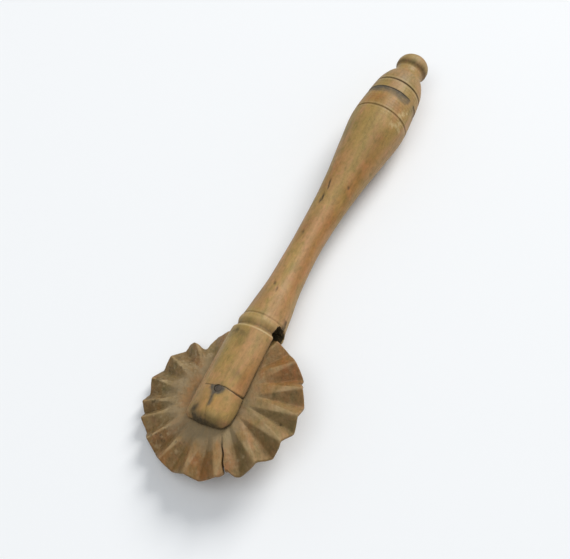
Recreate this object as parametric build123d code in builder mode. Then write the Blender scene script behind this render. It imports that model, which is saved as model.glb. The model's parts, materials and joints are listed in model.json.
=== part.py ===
"""Old wooden pastry cutter wheel, lying on its side on a table.

A handle turned in one piece ends in a sawn fork, and a hand-carved fluted wheel turns in the
fork on an iron pin. One corner of the upper prong has broken off and been put back.

The row frame has +Z up, with the table at z = 0, and +X along the handle towards its knob.
All the pieces are drawn on the tool plane: its origin is the centre of the wheel's outline,
its X runs up the fork and its Z along the pin. Reach means distance up the handle from there.
"""

import os
from math import asin, atan2, cos, degrees, hypot, radians, sin

from build123d import *

# Wheel
wheel_radius = 25.1
hub_half_thickness = 2.9
hub_radius = 8.5
rim_half_wave = 2.3  # half the axial width of the zigzag rim
rim_thickness = 1.2  # of the zigzag ribbon, measured along the pin
rim_bevel = 0.5
rim_bevel_height = 0.4
rim_land = 0.5  # degrees left of each crest, each side, between two flutes
low_flute_start = 12.5
# Flutes of the upper face: angles of the crest before it, of its valley at the rim and of the
# point where it starts, and the radius of that point.
flutes = (
    (21, 33, 38, 13.0),
    (47, 57, 57, 14.0),
    (68, 78, 78, 13.8),
    (89, 99, 98, 13.4),
    (108, 114, 114, 13.6),
    (121, 130, 130, 13.0),
    (139, 148, 148, 10.6),
    (159, 168, 169, 11.2),
    (181, 190, 194, 11.2),
    (204, 219, 225, 9.6),
    (232, 243, 246, 9.6),
    (254, 265, 272, 9.6),
    (275, 285, 293, 10.8),
    (296, 306, 315, 11.6),
    (318, 331, 335, 12.0),
    (341, 350, 350, 11.0),
    (359, 370, 370, 11.0),
)
bite_angle, bite_depth, bite_half_width = 41.5, 5.0, 4.4
split_angle, split_start, split_width = 210.0, 13.5, 0.6

# Pin, off the centre of the hand-cut outline
pin_x, pin_y = 0.6, -1.0
pin_radius = 1.2
pin_half_length = 8.3
pin_chamfer = 0.3
running_clearance = 0.06

# Fork
fork_radius = 8.75
fork_neck_radius = 8.3
slot_half_width = 3.3
slot_root = 28.3
tip_reach = -9.9
tip_flat_radius = 5.0
tip_round_start = -6.4
mend_reach = 2.2  # the break across the upper prong

# Collar, between the fork and the handle
crest_reach = 23.0
cove_end = 25.4
bead_end = 28.4
bead_radius = 7.85

# Handle above the collar
bend = 2.95  # degrees, to the right, at the waist
waist_reach = 60.0
waist_radius = 5.02
grip_reach = 114.4
grip_radius = 9.87
knob_root = 139.9
knob_root_radius = 4.95
knob_reach = 142.7
knob_radius = 5.75
handle_end = 147.4

# Turned rings: reach, radius of the floor, width of the floor
upper_ring = (129.3, 8.34, 0.3)
wide_groove = (123.4, 8.95, 2.5)
middle_ring = (115.5, 9.6, 0.3)
collar_line = (28.7, 7.22, 0.2)
ring_wall_lean = 0.35  # sideways run of a ring's wall for each millimetre of depth

# How it rests: on the back of the fork, the grip and the low side of the rim.
rest_height = fork_radius
low_crest_angle = flutes[3][1]  # the crest that touches the table is under this valley
low_crest_side = (wheel_radius - rim_bevel) * sin(radians(low_crest_angle))
lean_without_wave = asin(rest_height / hypot(low_crest_side, rim_half_wave))
lean = degrees(lean_without_wave - atan2(rim_half_wave, low_crest_side))
bend_lift = (grip_reach - waist_reach) * sin(radians(bend)) * sin(radians(lean))
pitch = degrees(asin((grip_radius - rest_height - bend_lift) / grip_reach))


def tool_direction(along, across, up):
    """A direction of the resting tool in the row frame."""
    a, b = radians(lean), radians(pitch)
    x = along * cos(b) - (up * cos(a) - across * sin(a)) * sin(b)
    y = across * cos(a) + up * sin(a)
    z = along * sin(b) + (up * cos(a) - across * sin(a)) * cos(b)
    return Vector(x, y, z)


upper_length = (handle_end - waist_reach) * cos(radians(bend))
wheel_x = (wheel_radius - waist_reach - upper_length) / 2
tool = Plane(
    origin=(wheel_x, 0, rest_height),
    x_dir=tool_direction(1, 0, 0),
    z_dir=tool_direction(0, 0, 1),
)
upper = Plane(
    origin=tool.from_local_coords((waist_reach, 0, 0)),
    x_dir=tool.x_dir * cos(radians(bend)) - tool.y_dir * sin(radians(bend)),
    z_dir=tool.z_dir,
)


def cut_ring(plane, start, ring):
    """Cut a turned ring round a plane's X axis, on a plane whose origin is at reach `start`."""
    reach, floor_radius, floor_width = ring
    half, top = floor_width / 2, grip_radius + 1
    flare = half + (top - floor_radius) * ring_wall_lean
    middle = reach - start
    with BuildSketch(plane) as wall:
        with BuildLine():
            Polyline(
                (middle - half, floor_radius),
                (middle + half, floor_radius),
                (middle + flare, top),
                (middle - flare, top),
                close=True,
            )
        make_face()
    revolve(wall.sketch, axis=Axis(plane.origin, plane.x_dir), mode=Mode.SUBTRACT)


# The turned and sawn blank: the whole handle, before its prong broke.
with BuildPart() as blank:
    with BuildSketch(tool):
        with BuildLine():
            Line((tip_reach, 0), (tip_reach, tip_flat_radius))
            EllipticalCenterArc(
                (tip_round_start, tip_flat_radius),
                tip_round_start - tip_reach,
                fork_radius - tip_flat_radius,
                start_angle=90,
                arc_size=90,
            )
            Line((tip_round_start, fork_radius), (crest_reach, fork_neck_radius))
            ThreePointArc((crest_reach, fork_neck_radius), (23.45, 8.17), (23.7, 7.85))
            ThreePointArc((23.7, 7.85), (24.5, 7.38), (cove_end, 7.58))
            ThreePointArc((cove_end, 7.58), (26.8, bead_radius), (bead_end, 7.45))
            Spline(
                (bead_end, 7.45),
                (35, 6.6),
                (45, 5.5),
                (waist_reach, waist_radius),
                tangents=((1, -0.13), (1, 0)),
            )
            Line((waist_reach, waist_radius), (waist_reach, 0))
            Line((waist_reach, 0), (tip_reach, 0))
        make_face()
    revolve(axis=Axis(tool.origin, tool.x_dir))
    with BuildSketch(upper):
        with BuildLine():
            Spline(
                (0, waist_radius),
                (76 - waist_reach, 5.6),
                (88 - waist_reach, 6.65),
                (102 - waist_reach, 8.55),
                (grip_reach - waist_reach, grip_radius),
                (124 - waist_reach, 9.2),
                (131 - waist_reach, 8.35),
                (135.2 - waist_reach, 6.9),
                (138.3 - waist_reach, 5.25),
                (knob_root - waist_reach, knob_root_radius),
                tangents=((1, 0), (1, 0)),
            )
            ThreePointArc(
                (knob_root - waist_reach, knob_root_radius),
                (140.9 - waist_reach, 5.45),
                (knob_reach - waist_reach, knob_radius),
            )
            EllipticalCenterArc(
                (knob_reach - waist_reach, 0),
                handle_end - knob_reach,
                knob_radius,
                start_angle=0,
                arc_size=90,
            )
            Line((handle_end - waist_reach, 0), (0, 0))
            Line((0, 0), (0, waist_radius))
        make_face()
    revolve(axis=Axis(upper.origin, upper.x_dir))
    with Locations(upper.origin):
        Sphere(waist_radius)
    for turned_ring in (upper_ring, wide_groove, middle_ring):
        cut_ring(upper, waist_reach, turned_ring)
    cut_ring(tool, 0, collar_line)
    with BuildSketch(tool):
        with Locations((slot_root, 0)):
            Rectangle(60, 30, align=(Align.MAX, Align.CENTER))
    extrude(amount=slot_half_width, both=True, mode=Mode.SUBTRACT)
    with BuildSketch(tool):
        with Locations((pin_x, pin_y)):
            Circle(pin_radius)
    extrude(amount=fork_radius + 1, both=True, mode=Mode.SUBTRACT)

# The corner of the upper prong that broke away: beyond the break, and right of the pin.
with BuildPart() as broken_corner:
    with BuildSketch(tool.offset(slot_half_width)):
        with Locations((mend_reach, pin_y)):
            Rectangle(20, 20, align=(Align.MAX, Align.MAX))
    extrude(amount=fork_radius)

with BuildPart() as handle:
    add(blank.part)
    add(broken_corner.part, mode=Mode.SUBTRACT)

with BuildPart() as prong_tip:
    add(blank.part)
    add(broken_corner.part, mode=Mode.INTERSECT)

with BuildPart() as axle_pin:
    with BuildSketch(tool):
        with Locations((pin_x, pin_y)):
            Circle(pin_radius)
    extrude(amount=pin_half_length, both=True)
    chamfer(axle_pin.edges().filter_by(GeomType.CIRCLE), pin_chamfer)


def radial_plane(angle, distance):
    """A plane facing out from the wheel's centre: its X runs round the wheel, its Y along the pin."""
    out = tool.x_dir * cos(radians(angle)) + tool.y_dir * sin(radians(angle))
    return Plane(tool.origin + out * distance, x_dir=tool.z_dir.cross(out), z_dir=out)


def cut_flute(left_angle, valley_angle, right_angle, tip_angle, start, side):
    """Cut one V-shaped flute between two crests, on the upper (side 1) or lower (side -1) face."""
    middle = (left_angle + right_angle) / 2
    half = radians(right_angle - left_angle) / 2 - radians(rim_land)
    slope = (hub_half_thickness - rim_half_wave) / (wheel_radius - hub_radius)
    start_height = hub_half_thickness - slope * (start - hub_radius)
    outside = wheel_radius * 1.06
    distance = outside * cos(half)
    crest_height = hub_half_thickness - slope * (outside - hub_radius)
    valley_height = rim_thickness - rim_half_wave
    fall = (start_height - valley_height) / (wheel_radius - start)
    valley_depth = start_height - fall * (distance - start)
    valley_shift = distance * sin(radians(valley_angle - middle))
    clear = crest_height + 3
    mouth = radial_plane(middle, distance)
    with BuildSketch(mouth) as mouth_sketch:
        with BuildLine():
            Polyline(
                (-outside * sin(half), side * crest_height),
                (valley_shift, side * valley_depth),
                (outside * sin(half), side * crest_height),
                (outside * sin(half), side * clear),
                (-outside * sin(half), side * clear),
                close=True,
            )
        make_face()
    point = radial_plane(tip_angle, start).from_local_coords((0, side * start_height, 0))
    tip = Vertex(point.X, point.Y, point.Z)
    loft([mouth_sketch.sketch.face(), tip], ruled=True, mode=Mode.SUBTRACT)


with BuildPart() as wheel:
    with BuildSketch(radial_plane(-90, 0)):
        with BuildLine():
            Polyline(
                (0, hub_half_thickness),
                (hub_radius, hub_half_thickness),
                (wheel_radius - rim_bevel, rim_half_wave),
                (wheel_radius, rim_half_wave - rim_bevel_height),
                (wheel_radius, rim_bevel_height - rim_half_wave),
                (wheel_radius - rim_bevel, -rim_half_wave),
                (hub_radius, -hub_half_thickness),
                (0, -hub_half_thickness),
                close=True,
            )
        make_face()
    revolve(axis=Axis(tool.origin, tool.z_dir))
    crests = [flute[0] for flute in flutes] + [flutes[0][0] + 360]
    valleys = [flutes[-1][1] - 360] + [flute[1] for flute in flutes]
    for i, (crest, valley, tip_angle, start) in enumerate(flutes):
        cut_flute(crest, valley, crests[i + 1], tip_angle, start, 1)
        cut_flute(valleys[i], crest, valley, crest, low_flute_start, -1)
    with BuildSketch(tool):
        with Locations((pin_x, pin_y)):
            Circle(pin_radius + running_clearance)
    extrude(amount=hub_half_thickness + 1, both=True, mode=Mode.SUBTRACT)
    # A bite out of the rim, and a split where the wood has shrunk.
    for angle, depth, half_width in (
        (bite_angle, bite_depth, bite_half_width),
        (split_angle, wheel_radius - split_start, split_width / 2),
    ):
        with BuildSketch(Plane(tool.origin, x_dir=radial_plane(angle, 0).z_dir, z_dir=tool.z_dir)):
            with BuildLine():
                Polyline(
                    (wheel_radius - depth, 0),
                    (wheel_radius, -half_width),
                    (wheel_radius + 1, -half_width),
                    (wheel_radius + 1, half_width),
                    (wheel_radius, half_width),
                    close=True,
                )
            make_face()
        extrude(amount=hub_half_thickness + 1, both=True, mode=Mode.SUBTRACT)

os.makedirs("parts", exist_ok=True)
handle.part.label = "handle"
export_step(handle.part, "parts/handle.step")
prong_tip.part.label = "prong_tip"
export_step(prong_tip.part, "parts/prong_tip.step")
axle_pin.part.label = "axle_pin"
export_step(axle_pin.part, "parts/axle_pin.step")
wheel.part.label = "wheel"
export_step(wheel.part, "parts/wheel.step")

pin_point = tool.from_local_coords((pin_x, pin_y, 0))
print("lean", lean, "pitch", pitch, "pin", pin_point, "axis", tool.z_dir, "up the fork", tool.x_dir)
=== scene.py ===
"""Looks of an old wooden pastry cutter wheel, lying on its side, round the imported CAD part.

Shapes are worked out in millimetres on the tool's own axes: s runs up the fork from the middle
of the wheel, b to the left of it and h along the pin. Reach is the distance up the handle, which
bends a little at its waist, and turn is the angle round the handle from h towards b, in degrees.
"""

import json
import math

import bmesh
import bpy
import numpy as np
from mathutils import Matrix, Vector


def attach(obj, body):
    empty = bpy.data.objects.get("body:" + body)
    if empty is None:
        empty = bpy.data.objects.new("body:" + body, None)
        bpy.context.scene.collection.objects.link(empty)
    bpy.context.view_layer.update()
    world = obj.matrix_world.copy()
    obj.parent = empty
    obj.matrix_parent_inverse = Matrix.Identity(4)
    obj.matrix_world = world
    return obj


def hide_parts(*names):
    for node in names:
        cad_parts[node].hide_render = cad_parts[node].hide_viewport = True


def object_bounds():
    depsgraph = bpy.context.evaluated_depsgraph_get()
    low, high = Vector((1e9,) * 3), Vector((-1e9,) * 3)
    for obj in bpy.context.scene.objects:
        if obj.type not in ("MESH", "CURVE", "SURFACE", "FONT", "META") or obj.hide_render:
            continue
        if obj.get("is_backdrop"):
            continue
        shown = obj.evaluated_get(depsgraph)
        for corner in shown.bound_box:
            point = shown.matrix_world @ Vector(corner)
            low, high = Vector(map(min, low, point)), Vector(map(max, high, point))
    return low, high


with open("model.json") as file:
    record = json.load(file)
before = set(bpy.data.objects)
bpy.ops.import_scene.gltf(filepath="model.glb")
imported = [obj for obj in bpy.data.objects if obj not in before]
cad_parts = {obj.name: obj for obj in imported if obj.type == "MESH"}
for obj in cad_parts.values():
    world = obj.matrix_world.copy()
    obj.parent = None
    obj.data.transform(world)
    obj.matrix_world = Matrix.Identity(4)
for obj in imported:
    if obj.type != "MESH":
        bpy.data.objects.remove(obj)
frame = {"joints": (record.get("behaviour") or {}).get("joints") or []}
cad_low, cad_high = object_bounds()

PIN = (0.6, -1.0)  # s and b of the pin's middle

# The tool's axes, in the row frame, from the wheel's hinge.
hinge = frame["joints"][0]
H_AXIS = np.array(hinge["axis"]) / np.linalg.norm(hinge["axis"])
S_AXIS = np.array([H_AXIS[2], 0, -H_AXIS[0]]) / math.hypot(H_AXIS[0], H_AXIS[2])
B_AXIS = np.cross(H_AXIS, S_AXIS)
AXES = np.array([S_AXIS, B_AXIS, H_AXIS])
ORIGIN = np.array(hinge["pos_m"]) * 1000 - PIN[0] * S_AXIS - PIN[1] * B_AXIS


def xyz(*parts):
    """Points from their two or three coordinates, which are stretched to one shape."""
    return np.stack(np.broadcast_arrays(*parts), axis=-1)


def to_frame(points):
    """Points on the tool's axes, in mm, as points in the row frame, in metres."""
    return (ORIGIN + points @ AXES) / 1000


# ---- noise and curves

LATTICE = 32


def lattice_noise(points, seed):
    """Smooth noise from -1 to 1 at each point, with a new value at every whole number."""
    table = np.random.default_rng(seed).random((LATTICE,) * 3) * 2 - 1
    cell = np.floor(points).astype(int)
    t = points - cell
    t = t * t * (3 - 2 * t)
    total = np.zeros(points.shape[:-1])
    for corner in np.ndindex(2, 2, 2):
        weight = np.prod(np.where(np.array(corner) == 1, t, 1 - t), axis=-1)
        total += weight * table[tuple(np.moveaxis((cell + corner) % LATTICE, -1, 0))]
    return total


def rough(points, size, seed, octaves=3):
    """Noise in bumps of that size in mm, a number or one for each axis, with finer ones on top."""
    points = np.asarray(points, float) / size
    return sum(
        lattice_noise(points * 2**k + 7.3 * k, seed + k) / 2**k for k in range(octaves)
    )


def curve(x, knots):
    """A smooth curve through knots of (x, y), with no overshoot."""
    xs, ys = np.array(knots, float).T
    step = np.diff(xs)
    slope = np.diff(ys) / step
    tangent = np.zeros(len(xs))
    tangent[0], tangent[-1] = slope[0], slope[-1]
    both = slope[:-1] * slope[1:]
    turning = both <= 0
    tangent[1:-1] = np.where(turning, 0, 2 * both / np.where(turning, 1, slope[:-1] + slope[1:]))
    i = np.clip(np.searchsorted(xs, x, side="right") - 1, 0, len(xs) - 2)
    t = np.clip((x - xs[i]) / step[i], 0, 1)
    return (
        (1 + 2 * t) * (1 - t) ** 2 * ys[i]
        + t * (1 - t) ** 2 * step[i] * tangent[i]
        + t * t * (3 - 2 * t) * ys[i + 1]
        - t * t * (1 - t) * step[i] * tangent[i + 1]
    )


def ramp(x, start, end):
    """0 at start and 1 at end, with a smooth rise between."""
    t = np.clip((x - start) / (end - start), 0, 1)
    return t * t * (3 - 2 * t)


def bell(x, width):
    return np.exp(-((x / width) ** 2))


def turned_from(middle, angle):
    """Degrees from middle to angle, the short way round."""
    return (angle - middle + 180) % 360 - 180


def soft_max(a, b, k):
    """The larger of a and b, rounded over a width k where they cross."""
    h = np.maximum(k - np.abs(a - b), 0) / np.maximum(k, 1e-9)
    return np.maximum(a, b) + h * h * k / 4


def soft_min(a, b, k):
    return -soft_max(-a, -b, k)


def tint(along, turn, points, patches):
    """How orange, olive and pale each point is, from soft patches with uneven edges."""
    total = np.zeros((len(along), 3))
    for place, middle, half_length, half_width, *amounts in patches:
        share = bell(along - place, half_length) * bell(turned_from(middle, turn), half_width)
        total += share[:, None] * amounts
    return np.clip(total * (1 + 0.45 * rough(points, (7, 3, 3), 57))[:, None], 0, 1)


def path_distance(x, y, path):
    """How far (x, y) is from a line through points, and the share of the line passed there."""
    best = np.full(np.shape(x), 1e9)
    share = np.zeros(np.shape(x))
    for i, ((x0, y0), (x1, y1)) in enumerate(zip(path, path[1:])):
        length2 = (x1 - x0) ** 2 + (y1 - y0) ** 2
        t = np.clip(((x - x0) * (x1 - x0) + (y - y0) * (y1 - y0)) / length2, 0, 1)
        d = np.hypot(x - x0 - t * (x1 - x0), y - y0 - t * (y1 - y0))
        share = np.where(d < best, (i + t) / (len(path) - 1), share)
        best = np.minimum(best, d)
    return best, share


# ---- handle: sizes

# Reaches along the handle, and radii, in mm.
TIP, TIP_ROUND, TIP_FLAT, FORK_RADIUS = -9.9, -6.4, 5.2, 8.45
SLOT_HALF, SLOT_ROOT, ROOT_RADIUS = 3.3, 28.3, 7.45
COLLAR_EDGE, COVE, BEAD = 23.15, 24.5, 26.6
WAIST, BEND, BEND_SPREAD = 60.0, math.radians(2.95), 9.0
NECK, KNOB_FOOT, KNOB, KNOB_CREST, HANDLE_END = 139.8, 141.1, 142.7, 143.2, 147.4
KNOB_RADIUS = 5.75
OUTLINE = (
    (TIP_ROUND, FORK_RADIUS), (1, 8.62), (9, 8.6), (22.9, 8.3), (23.3, 8.2), (23.7, 7.85),
    (COVE, 7.38), (25.3, 7.5), (26.7, 7.85), (27.8, 7.68), (28.6, 7.38), (35, 6.6), (45, 5.5),
    (WAIST, 5.02), (76, 5.6), (88, 6.65), (102, 8.55), (114.4, 9.87), (124, 9.2), (131, 8.35),
    (135.2, 6.9), (138.6, 5.08), (139.9, 4.95), (140.6, 5.15), (141.5, 5.68), (KNOB, KNOB_RADIUS),
)
RINGS = (  # reach, radius of the floor, width of the floor, grime
    (129.3, 8.34, 0.3, 0.85), (115.5, 9.62, 0.3, 0.42), (28.7, 7.30, 0.2, 0.3),
)
WIDE_GROOVE = (122.2, 124.7, 8.98)  # its two sides, and the radius of its floor
GROOVE_GAP = -72  # the turn where it is worn away

# Fissures, dents and chips: reach, turn, half length, half width, depth, grime, wear.
MARKS = (
    (82.3, 11.5, 1.7, 0.3, 0.3, 0.9, 0), (81, 8.5, 0.9, 0.28, 0.25, 0.8, 0),
    (76.8, 9.5, 1.3, 0.34, 0.35, 1, 0), (75.3, 11.5, 0.9, 0.3, 0.3, 0.9, 0),
    (83.7, -52, 0.5, 0.4, 0.15, 0.75, 0), (41, 3.7, 0.6, 0.4, 0.14, 0.75, 0),
    (39, -13, 0.9, 0.28, 0.12, 0.65, 0), (62.5, 9.3, 0.6, 0.45, 0.1, 0.55, 0),
    (118.4, -64, 0.9, 0.6, 0.18, 0, 0.4), (114.3, -68, 1, 0.7, 0.18, 0, 0.4),
    (97, 95, 1.5, 0.35, 0.22, 0.7, 0), (90, 165, 2.2, 0.3, 0.25, 0.8, 0),
    (52, 200, 1.8, 0.3, 0.2, 0.7, 0), (108, 225, 1, 0.7, 0.18, 0, 0.8),
    (66, 120, 1.2, 0.3, 0.2, 0.6, 0), (15, 170, 2, 0.3, 0.25, 0.8, 0),
)
# Soft patches of colour: reach, turn, half length, half width in degrees, and how orange, olive
# and pale it is there.
HANDLE_TINTS = (
    (80, -62, 27, 26, 0.9, 0, 0), (45, -58, 12, 22, 0.4, 0, 0), (118.8, -4, 3, 45, 0.9, 0.1, 0),
    (9, -48, 9, 15, 0.5, 0.2, 0), (83, 30, 6, 18, 0.5, 0, 0), (89, 14, 6, 16, 0.45, 0, 0),
    (35, 34, 6, 34, 0, 0.75, 0), (63, 14, 5, 20, 0.3, 0.6, 0), (104, 38, 5, 18, 0, 0.7, 0),
    (132, -5, 7, 75, 0, 0.8, 0), (101, -45, 8, 22, 0, 0.4, 0), (56, -18, 14, 17, 0, 0, 0.6),
    (38, -18, 5, 14, 0, 0, 0.5), (55, 45, 8, 16, 0, 0, 0.5), (77, -16, 7, 15, 0, 0, 0.4),
    (110.5, -38, 3, 17, 0, 0, 0.8), (127.5, -40, 2.5, 22, 0, 0, 0.8), (4, 45, 9, 14, 0, 0.15, 0.4),
    (-4, -14, 3.5, 26, 0.6, 0, 1), (7, -28, 1.7, 9, 0, 0.75, 0), (5, -42, 6, 14, 0.3, 0, 0.5),
    (-4.5, 22, 3.5, 16, 0, 0.55, 0), (-8.5, -12, 1.6, 40, 0.1, 0.7, 0), (14, 30, 5, 16, 0, 0.4, 0),
    (16, -18, 4, 14, 0.2, 0, 0.4),
)
# Flaked spots: reach, turn, half length, half width in degrees.
FLAKES = (
    (118.3, -64.0, 1.1, 5), (116.4, -60.0, 0.9, 7), (114.3, -68.0, 1.0, 6), (112.3, -63.0, 0.8, 7),
    (111.5, -52.0, 0.9, 7), (112.2, -76.0, 0.7, 5), (119.9, -72.0, 0.7, 4),
)
# Paths of (reach, b) on the upper prong: the break, the hairline that goes on past the pin, the
# crack to the tip, the stain that runs down it from the pin, the darkened corner, and a split in
# the slot's root.
BREAK = ((1.7, -9.2), (1.5, -7.8), (1.3, -6.3), (1.4, -4.7), (1.65, -2.9), (1.6, -1.8), (1.0, -1.0))
HAIRLINE = ((1.3, -0.6), (1.0, 1.0), (1.1, 3.65))
LONG_CRACK = ((1.0, -1.0), (-0.9, -0.9), (-3.4, -0.46), (-6.0, -0.6), (-12.0, -2.2))
STAIN = ((0.6, -0.6), (-0.9, -0.3), (-2.1, -0.6), (-3.7, -0.85), (-6.3, -0.85))
DARKENED_CORNER = ((-6.6, 3.0), (-7.8, 3.4), (-9.2, 3.0), (-10, 0))
ROOT_SPLIT = ((28.3, -7.2), (29.6, -7.3), (31.3, -7.0))


def radius_at(reach):
    """The turned outline, without its rings or its wear."""
    tip = TIP_FLAT + (FORK_RADIUS - TIP_FLAT) * np.sqrt(
        np.clip(1 - ((TIP_ROUND - reach) / (TIP_ROUND - TIP)) ** 2, 0, 1)
    )
    knob = KNOB_RADIUS * np.sqrt(np.clip(1 - ((reach - KNOB) / (HANDLE_END - KNOB)) ** 2, 0, 1))
    return np.where(reach < TIP_ROUND, tip, np.where(reach > KNOB, knob, curve(reach, OUTLINE)))


def rod_points(reach, turn):
    """Places for noise on the handle, as if it were a rod 8 mm in radius."""
    angle = np.radians(turn)
    return xyz(reach, 8 * np.sin(angle), 8 * np.cos(angle))


def mark_shares(reach, turn):
    """Each mark's depth, grime and wear, with 1 in its middle and 0 past its ragged edge."""
    radius = radius_at(reach)
    ragged = 1 + 0.45 * rough(rod_points(reach, turn), 0.7, 15, 2)
    for place, middle, half_length, half_width, depth, grime_and_painted_shade, wear_and_painted_light in MARKS:
        across = np.radians(turned_from(middle, turn)) * radius
        across = across - 0.14 * (reach - place) * (grime_and_painted_shade > 0)
        inside = ((reach - place) / half_length) ** 2 + (across / half_width) ** 2
        yield depth, grime_and_painted_shade, wear_and_painted_light, np.exp(-inside * ragged)


def wide_groove(turn):
    """The wide groove's low side, and how deep it is from 0 to 1, at each turn."""
    away = turned_from(GROOVE_GAP, turn)
    low = WIDE_GROOVE[0] + 0.4 * np.sin(np.radians(turn)) + 1.3 * bell(away, 12)
    return low, 1 - 0.95 * np.exp(-((away / 8) ** 4))


def worn_radius(reach, turn):
    """The radius with rings, wear, marks and unevenness, never outside the turned outline."""
    around = rod_points(reach, turn)
    r = start = radius_at(reach)
    for ring, floor, width, _ in RINGS:
        wall = floor + np.maximum(np.abs(reach - ring) - width / 2, 0) / 0.35
        wall = wall + 0.12 * rough(around, 5, 61)
        r = soft_min(r, wall, 0.16)
    _, high, floor = WIDE_GROOVE
    low, fade = wide_groove(turn)
    edge = 0.10 * rough(around, 3, 65)
    wall = np.where(reach > high, floor + (reach - high) / 0.3, floor + (high - reach) * 0.19)
    r_cut = soft_min(r, np.maximum(wall + edge, 0), 0.12)
    r = r + (r_cut - r) * fade * ramp(reach, low - 1.6, low)
    r = r - 0.05 * (1 + rough(around, (30, 7, 7), 3, 2))
    r = r - 0.018 * (1 + rough(around, (6, 0.8, 0.8), 9, 3))
    r = r - 0.012 * (1 + np.sin(reach * 5.2 + 2 * rough(around, 9, 4, 1))) * ramp(reach, 30, 60)
    for depth, _, _, share in mark_shares(reach, turn):
        r = r - depth * share
    return np.minimum(r, start)


def gape(b):
    """How far the break stands open, from 0 to 1 at its right end."""
    return ramp(-b, 4.5, 8)


def prong_wear(s, b):
    """How far the upper prong's outside is worn or sunk along its cracks and over the pin."""
    width = 0.22
    sunk = (0.16 + 0.3 * gape(b)) * bell(path_distance(s, b, BREAK)[0], width + 0.1 * gape(b))
    d, share = path_distance(s, b, LONG_CRACK)
    sunk += 0.14 * bell(d, width) * (1 - 0.8 * share)
    sunk += 0.10 * bell(path_distance(s, b, HAIRLINE)[0], 0.16)
    pin = np.hypot(s - PIN[0], b - PIN[1])
    return sunk + 0.26 * bell(pin, 1.7) + 0.05 * bell(pin, 4)


def bend_points(reach, b, h):
    """Tool axes of points given by reach along the bent middle line of the handle."""
    x = reach - WAIST
    bending = (x + BEND_SPREAD) ** 2 / (4 * BEND_SPREAD)
    past = np.where(x < -BEND_SPREAD, 0, np.where(x > BEND_SPREAD, x, bending))
    tilt = BEND * np.clip((x + BEND_SPREAD) / (2 * BEND_SPREAD), 0, 1)
    s = reach - past * (1 - math.cos(BEND)) + b * np.sin(tilt)
    return xyz(s, b * np.cos(tilt) - past * math.sin(BEND), h)


def unbend(points):
    """Points on the tool's axes as reach, b and h along the handle."""
    s, b, h = np.moveaxis(points, -1, 0)
    x = s - WAIST
    reach = WAIST + x * math.cos(BEND) - b * math.sin(BEND)
    across = b * math.cos(BEND) + x * math.sin(BEND)
    return xyz(np.where(x > 0, reach, s), np.where(x > 0, across, b), h)


# ---- mesh helpers


class Mesher:
    """Collects blocks of points and the faces between them."""

    def __init__(self):
        self.points, self.faces, self.count = [], [], 0

    def add(self, block):
        """Adds an array of points and returns their numbers, in the same layout."""
        flat = np.asarray(block, float).reshape(-1, 3)
        numbers = self.count + np.arange(len(flat)).reshape(np.shape(block)[:-1])
        self.points.append(flat)
        self.count += len(flat)
        return numbers

    def grid(self, numbers, wrap=False):
        """Quads over a two-way array of point numbers."""
        if wrap:
            numbers = np.concatenate([numbers, numbers[:, :1]], axis=1)
        quads = np.stack(
            [numbers[:-1, :-1], numbers[:-1, 1:], numbers[1:, 1:], numbers[1:, :-1]], axis=-1
        )
        self.faces += quads.reshape(-1, 4).tolist()

    def fan(self, ring, centre):
        ring = list(ring)
        self.faces += [[a, b, centre] for a, b in zip(ring, ring[1:] + ring[:1])]

    def object(self, name, merge=0.0):
        """A mesh object of it all, in the row frame, with its faces looking outwards."""
        mesh = bpy.data.meshes.new(name)
        mesh.from_pydata(to_frame(np.concatenate(self.points)).tolist(), [], self.faces)
        bm = bmesh.new()
        bm.from_mesh(mesh)
        if merge:
            bmesh.ops.remove_doubles(bm, verts=bm.verts, dist=merge)
        bmesh.ops.recalc_face_normals(bm, faces=bm.faces)
        bm.to_mesh(mesh)
        bm.free()
        closed_volume(mesh, name)
        return new_object(name, mesh)


def new_object(name, data):
    made = bpy.data.objects.new(name, data)
    bpy.context.scene.collection.objects.link(made)
    return made


def closed_volume(mesh, name):
    """The volume inside a mesh, which has to be closed."""
    bm = bmesh.new()
    bm.from_mesh(mesh)
    closed = all(len(edge.link_faces) == 2 for edge in bm.edges)
    volume = bm.calc_volume()
    bm.free()
    if not closed:
        raise RuntimeError(f"{name} is not a closed surface")
    return volume


def cut(piece, cutter, operation):
    """Applies a boolean, leaves the cutter in place, and stops the script if the cut went wrong."""
    before = closed_volume(piece.data, piece.name)
    modifier = piece.modifiers.new("cut", "BOOLEAN")
    modifier.operation, modifier.solver, modifier.object = operation, "EXACT", cutter
    graph = bpy.context.evaluated_depsgraph_get()
    mesh = bpy.data.meshes.new_from_object(piece.evaluated_get(graph))
    piece.modifiers.clear()
    piece.data = mesh
    if not 0.005 * before < closed_volume(mesh, piece.name) < before:
        raise RuntimeError(f"the cut of {piece.name} failed")


def remove(*pieces):
    for piece in pieces:
        bpy.data.objects.remove(piece)


def tool_points(piece):
    """The piece's points on the tool's axes, in mm."""
    co = np.zeros(len(piece.data.vertices) * 3)
    piece.data.vertices.foreach_get("co", co)
    return (co.reshape(-1, 3) * 1000 - ORIGIN) @ AXES.T


def write_attribute(piece, name, values):
    attribute = piece.data.attributes.new(name, "FLOAT_VECTOR", "POINT")
    attribute.data.foreach_set("vector", np.asarray(values, np.float32).ravel())


def smooth(piece, sharp_degrees):
    piece.data.shade_smooth()
    piece.data.set_sharp_from_angle(angle=math.radians(sharp_degrees))


# ---- handle: mesh

ARC, FLAT, GAP = 52, 36, 20  # faces round a prong's outside, across its inside, between prongs
CORNER = math.degrees(math.acos(SLOT_HALF / ROOT_RADIUS))  # turn of the slot's edges at its root
WORN_CORNER = 0.6  # radius of the worn edge round a prong's tip
WELD = 1e-7  # metres; points closer than this are one


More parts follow.
